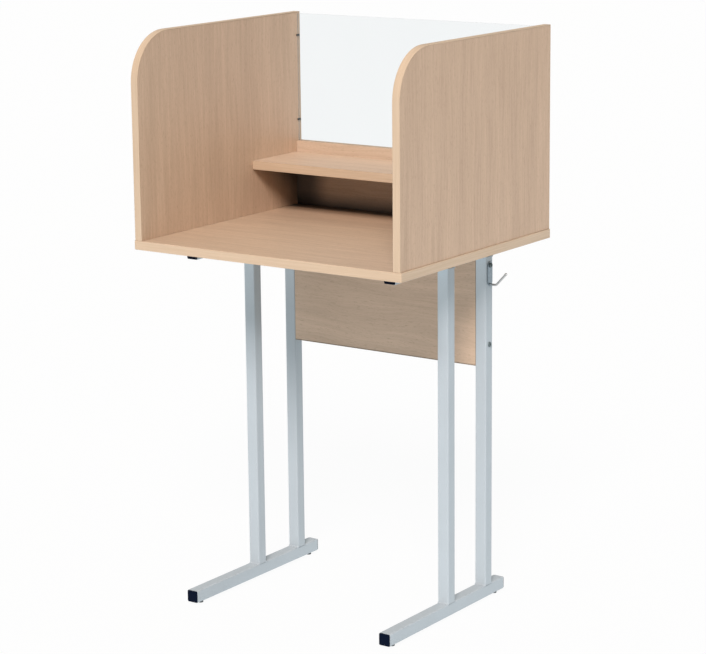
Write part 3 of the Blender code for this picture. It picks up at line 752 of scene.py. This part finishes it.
# Bag hook ------------------------------------------------------------------------------------------------

def add_hook_plate(bm, low, high):
    """A pressed plate with round ends and rounded rims."""
    y = (low.y + high.y) / 2
    face = low.x
    middle_low, middle_high = low.z + HOOK_HALF_WIDTH, high.z - HOOK_HALF_WIDTH
    # How far each ring is set in from the outline, and where it lies, from the frame outwards.
    rims = (
        (0.0004, face), (0.0, face + 0.0004), (0.0, face + HOOK_PLATE - 0.0006),
        (0.00018, face + HOOK_PLATE - 0.0002), (0.0007, face + HOOK_PLATE),
    )
    rings = []
    for inset, x in rims:
        ring = []
        radius = HOOK_HALF_WIDTH - inset
        for step in range(TURNS):
            angle = 2 * math.pi * (step + 0.5) / TURNS
            level = middle_high if math.sin(angle) > 0 else middle_low
            ring.append(Vector((x, y + radius * math.cos(angle), level + radius * math.sin(angle))))
        rings.append(ring)
    ring_body(rings, bm=bm)


def hook_sections(low, high):
    """The arm's sections as place, direction and radius: level, bent, sloping, and the ball at its end."""
    y = (low.y + high.y) / 2
    z = low.z + HOOK_ARM_LEVEL
    root_x = low.x + HOOK_PLATE / 2
    bend_x = low.x + HOOK_ARM_REACH
    sections = []
    for step in range(7):
        spot = Vector((root_x + (bend_x - root_x) * step / 6, y, z))
        sections.append((spot, Vector((1, 0, 0)), HOOK_WIRE))
    centre = Vector((bend_x, y, z + HOOK_BEND))
    for step in range(1, HOOK_STEPS + 1):
        angle = HOOK_ANGLE * step / HOOK_STEPS
        spot = centre + HOOK_BEND * Vector((math.sin(angle), 0.0, -math.cos(angle)))
        sections.append((spot, Vector((math.cos(angle), 0.0, math.sin(angle))), HOOK_WIRE))
    start = sections[-1][0]
    rise = Vector((math.cos(HOOK_ANGLE), 0.0, math.sin(HOOK_ANGLE)))
    length = (high.x - HOOK_TIP - start.x) / rise.x
    neck = math.sqrt(HOOK_TIP ** 2 - HOOK_WIRE ** 2)
    sections.append((start + rise * (length - neck), rise, HOOK_WIRE))
    for step in range(1, HOOK_STEPS + 1):
        reach = -neck + (HOOK_TIP + neck) * step / HOOK_STEPS
        radius = math.sqrt(max(HOOK_TIP ** 2 - reach ** 2, (0.12 * HOOK_TIP) ** 2))
        sections.append((start + rise * (length + reach), rise, radius))
    return sections


def add_hook_arm(bm, low, high):
    """The bent wire, thicker at the plate where it is welded on."""
    rings = []
    for spot, along, radius in hook_sections(low, high):
        out = spot.x - low.x - HOOK_PLATE
        if out < HOOK_WELD_LENGTH:
            radius += HOOK_WELD * (1 - max(0.0, out) / HOOK_WELD_LENGTH) ** 2
        normal = Vector((-along.z, 0.0, along.x))
        ring = []
        for step in range(HOOK_SIDES):
            angle = 2 * math.pi * step / HOOK_SIDES
            ring.append(spot + radius * (math.cos(angle) * normal + math.sin(angle) * Vector((0, 1, 0))))
        rings.append(ring)
    ring_body(rings, bm=bm)


def make_bag_hook(material):
    low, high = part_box("bag_hook")
    bm = bmesh.new()
    add_hook_plate(bm, low, high)
    add_hook_arm(bm, low, high)
    piece = add_piece("bag_hook_shown", bm, material, "zinc_steel", "desk", "bag_hook")
    weigh_normals(piece)


# Dressing ------------------------------------------------------------------------------------------------

def make_frames(coat, plastic):
    for side, _ in SIDES:
        for kind in ("foot_rail", "top_rail"):
            smooth_copy(side + "_" + kind, coat, "frame_steel")
            for end, direction in ENDS:
                make_end_cap(side + "_" + kind + "_" + end + "_cap", plastic, direction)
        for end, _ in ENDS:
            smooth_copy(side + "_" + end + "_upright", coat, "frame_steel")


def make_clips(material):
    for side, _ in SIDES:
        for level in ("lower", "upper"):
            clip = smooth_copy(side + "_" + level + "_screen_clip", material, "black_plastic")
            bevel = clip.modifiers.new("Moulded corners", "BEVEL")
            bevel.width = CLIP_ROUNDING
            bevel.segments = 2
            bevel.limit_method = "ANGLE"


def dress_boards():
    """Laminate on the boards and banding on their edges."""
    # Name, the axis that the grain runs along, the axis that it faces, tint, and how far the grain sways. The
    # tints are painted light: the one laminate is made paler, cooler or warmer on each board for the light
    # that falls on it.
    boards = (
        ("worktop", "X", "Z", (1.0, 1.0, 1.0), 0.012),
        ("left_side_panel", "Z", "X", (1.08, 1.08, 1.09), 0.012),
        ("right_side_panel", "Z", "X", (1.02, 0.98, 0.96), 0.012),
        ("rear_board", "X", "Y", (1.04, 1.10, 1.165), 0.030),
        ("shelf", "X", "Z", (1.10, 1.12, 1.16), 0.020),
        ("modesty_panel", "X", "Y", (1.13, 1.13, 1.15), 0.040),
    )
    for seed, (name, along, face, tint, sway) in enumerate(boards):
        dress(beech_laminate(name + "_laminate", along, face, 3.7 * seed + 1.3, tint, sway), name)
    # Name, the axis across the strip, and how light it is. The tones are painted light and shade on one
    # edging, darkest on the modesty panel's lower edge, which lies in shade.
    strips = (
        ("worktop_edging", "Z", 1.0), ("left_panel_edging", "X", 0.965), ("right_panel_edging", "X", 1.0),
        ("shelf_edging", "Z", 0.93), ("modesty_edging", "Y", 0.45),
    )
    for seed, (name, across, tone) in enumerate(strips):
        smooth_copy(name, edge_banding(name + "_band", across, 5.1 * seed, tone), "edging")


# Stage ---------------------------------------------------------------------------------------------------

def make_plane(name, level, albedo, glow, tint):
    """A wide level plane that glows."""
    bpy.ops.mesh.primitive_plane_add(size=STAGE_SIZE, location=(0, 0, level))
    plane = bpy.context.object
    plane.name = name
    shader = Shader(name, roughness=0.9)
    shader.set("Base Color", (albedo, albedo, albedo))
    shader.set("Specular IOR Level", 0.0)
    shader.set("Emission Color", tint)
    shader.set("Emission Strength", glow)
    plane.data.materials.append(shader.material)
    return plane


def make_floor():
    """The floor that is seen is nearly white. The light that it throws back comes from a plane below it."""
    seen = make_plane("floor", FLOOR_LEVEL, FLOOR_ALBEDO, FLOOR_GLOW, (1.0, 1.0, 1.0))
    seen.visible_diffuse = False
    bounce = make_plane("bounce", BOUNCE_LEVEL, 0.0, FLOOR_BOUNCE, FLOOR_TINT)
    for ray in ("camera", "glossy", "transmission", "shadow"):
        setattr(bounce, "visible_" + ray, False)


def make_light():
    """A sky that fades towards the horizon, a key from the front right, and a low fill from the left."""
    world = bpy.data.worlds.new("studio")
    bpy.context.scene.world = world
    world.use_nodes = True
    tree = world.node_tree
    background = tree.nodes["Background"]
    where = tree.nodes.new("ShaderNodeTexCoord")
    parts = tree.nodes.new("ShaderNodeSeparateXYZ")
    ramp = tree.nodes.new("ShaderNodeMapRange")
    ramp.inputs["To Min"].default_value = HORIZON
    ramp.inputs["To Max"].default_value = ZENITH
    tree.links.new(where.outputs["Generated"], parts.inputs[0])
    tree.links.new(parts.outputs["Z"], ramp.inputs["Value"])
    tree.links.new(ramp.outputs[0], background.inputs["Strength"])
    background.inputs["Color"].default_value = (*SKY_TINT, 1.0)
    # What the camera sees beyond the floor is as pale as the floor.
    pale = tree.nodes.new("ShaderNodeBackground")
    pale.inputs["Color"].default_value = (1.0, 1.0, 1.0, 1.0)
    pale.inputs["Strength"].default_value = BACKDROP_GLOW
    seen = tree.nodes.new("ShaderNodeLightPath")
    choose = tree.nodes.new("ShaderNodeMixShader")
    tree.links.new(seen.outputs["Is Camera Ray"], choose.inputs[0])
    tree.links.new(background.outputs[0], choose.inputs[1])
    tree.links.new(pale.outputs[0], choose.inputs[2])
    tree.links.new(choose.outputs[0], tree.nodes["World Output"].inputs["Surface"])

    make_sun("key", KEY_TOWARD, KEY_STRENGTH, KEY_TINT, KEY_SOFTNESS)
    make_sun("fill", FILL_TOWARD, FILL_STRENGTH, FILL_TINT, FILL_SOFTNESS)


def make_sun(name, toward, strength, tint, softness):
    sun = bpy.data.lights.new(name, "SUN")
    sun.energy = strength
    sun.color = tint
    sun.angle = softness
    light = bpy.data.objects.new(name, sun)
    light.rotation_mode = "QUATERNION"
    light.rotation_quaternion = Vector(toward).to_track_quat("Z", "Y")
    bpy.context.scene.collection.objects.link(light)


def make_camera():
    data = bpy.data.cameras.new("camera")
    data.sensor_width = 36.0
    data.lens = CAMERA_LENS
    data.clip_end = 200.0
    camera = bpy.data.objects.new("camera", data)
    back = Vector((
        math.sin(CAMERA_AZIMUTH) * math.cos(CAMERA_ELEVATION),
        -math.cos(CAMERA_AZIMUTH) * math.cos(CAMERA_ELEVATION),
        math.sin(CAMERA_ELEVATION),
    ))
    turn = back.to_track_quat("Z", "Y") @ Matrix.Rotation(CAMERA_ROLL, 3, "Z").to_quaternion()
    place = Vector(CAMERA_AIM) + back * CAMERA_DISTANCE
    camera.matrix_world = Matrix.Translation(place) @ turn.to_matrix().to_4x4()
    bpy.context.scene.collection.objects.link(camera)
    bpy.context.scene.camera = camera


make_camera()
make_light()
make_floor()
coat = powder_coat()
dress_boards()
dress(clear_sheet(), "clear_screen")
dress(raw_dowel(), "left_shelf_dowel", "right_shelf_dowel")
make_frames(coat, moulded_plastic("cap_plastic", CAP_BLACK, CAP_GREY, gloss=0.05))
make_welds(coat)
make_clips(moulded_plastic("clip_plastic", shade(CLIP_BROWN, 0.8), CLIP_BROWN, gloss=0.4))
make_screws(plated_steel("screw_steel", SCREW_STEEL, metallic=0.6))
glide_plastic = moulded_plastic("glide_plastic", shade(GLIDE_GREY, 0.8), GLIDE_GREY, gloss=0.4)
zinc = plated_steel("zinc_plate", ZINC, metallic=1.0)
for side, _ in SIDES:
    for end, _ in ENDS:
        make_glide(side + "_" + end, glide_plastic, zinc)
make_bag_hook(hook_plating())
bpy.context.scene.view_settings.view_transform = "Standard"
